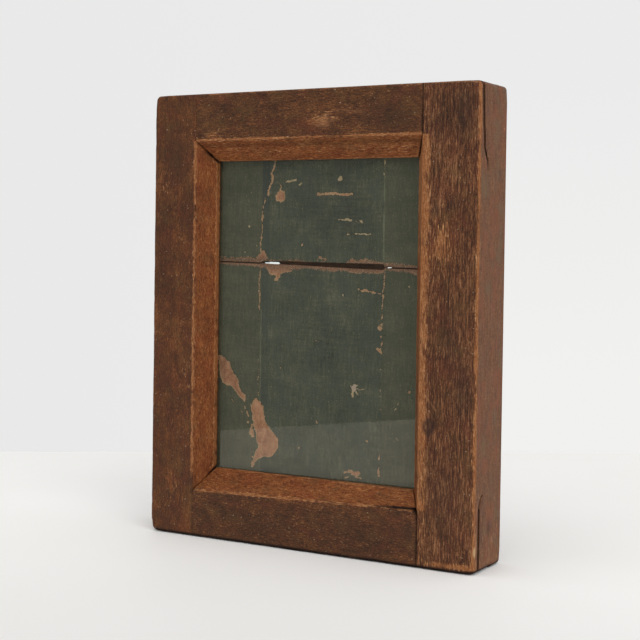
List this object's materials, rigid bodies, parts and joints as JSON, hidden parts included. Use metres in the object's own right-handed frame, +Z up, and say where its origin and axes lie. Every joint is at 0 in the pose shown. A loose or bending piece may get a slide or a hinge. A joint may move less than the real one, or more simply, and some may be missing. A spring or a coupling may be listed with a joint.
{
  "type": "contact printing frame",
  "caption": "Upright wooden contact printing frame: bevelled front, glass pane and a lined back of two hinged leaves, pressed in by two bow springs that turn under catches.",
  "frame": {"origin": "centre of the footprint, at the bottom edge that the frame stands on", "axes": "+Z up along the stiles, -Y out of the bevelled front, +X to the right when the front is seen"},
  "size_m": [0.18, 0.032, 0.224],
  "materials": {
    "frame_wood": "old dark stained, worn satin",
    "back_wood": "plain aged wood, dry",
    "lining": "dark green cloth-like lining, worn through in places",
    "glass": "clear, slightly dusty",
    "spring_steel": "tarnished",
    "hinge_iron": "dark, tarnished",
    "screw_steel": "tarnished",
    "brass": "tarnished"
  },
  "bodies": {
    "frame": {"left_stile": "frame_wood", "right_stile": "frame_wood", "top_rail": "frame_wood", "bottom_rail": "frame_wood", "glass_pane": "glass", "catch_upper_left": "brass", "catch_upper_right": "brass", "catch_lower_left": "brass", "catch_lower_right": "brass", "catch_screws": "screw_steel"},
    "lower_leaf": {"lower_panel": "back_wood", "lower_left_cleat": "back_wood", "lower_right_cleat": "back_wood", "lower_lining": "lining", "hinge_leaf_lower": "hinge_iron", "hinge_pin": "hinge_iron", "hinge_screws_lower": "screw_steel", "lower_spring_rivet": "brass", "lower_spring_washer": "brass"},
    "upper_leaf": {"upper_panel": "back_wood", "upper_left_cleat": "back_wood", "upper_right_cleat": "back_wood", "upper_lining": "lining", "hinge_leaf_upper": "hinge_iron", "hinge_screws_upper": "screw_steel", "upper_spring_rivet": "brass", "upper_spring_washer": "brass"},
    "upper_bow": {"upper_spring": "spring_steel"},
    "lower_bow": {"lower_spring": "spring_steel"}
  },
  "joints": [
    {"name": "back_lift", "type": "slide", "parent": "frame", "child": "lower_leaf", "axis": [0, 1, 0], "range_m": [0, 0.06]},
    {"name": "leaf_fold", "type": "hinge", "parent": "lower_leaf", "child": "upper_leaf", "pos_m": [-0.0012, 0.0089, 0.13875], "axis": [-1, 0, 0], "range_deg": [0, 110]},
    {"name": "upper_spring_swivel", "type": "hinge", "parent": "upper_leaf", "child": "upper_bow", "pos_m": [-0.0012, 0.0075, 0.16995], "axis": [0, -1, 0], "range_deg": [-11.5, 2]},
    {"name": "lower_spring_swivel", "type": "hinge", "parent": "lower_leaf", "child": "lower_bow", "pos_m": [-0.0012, 0.0075, 0.08405], "axis": [0, -1, 0], "range_deg": [-11.5, 2]}
  ]
}
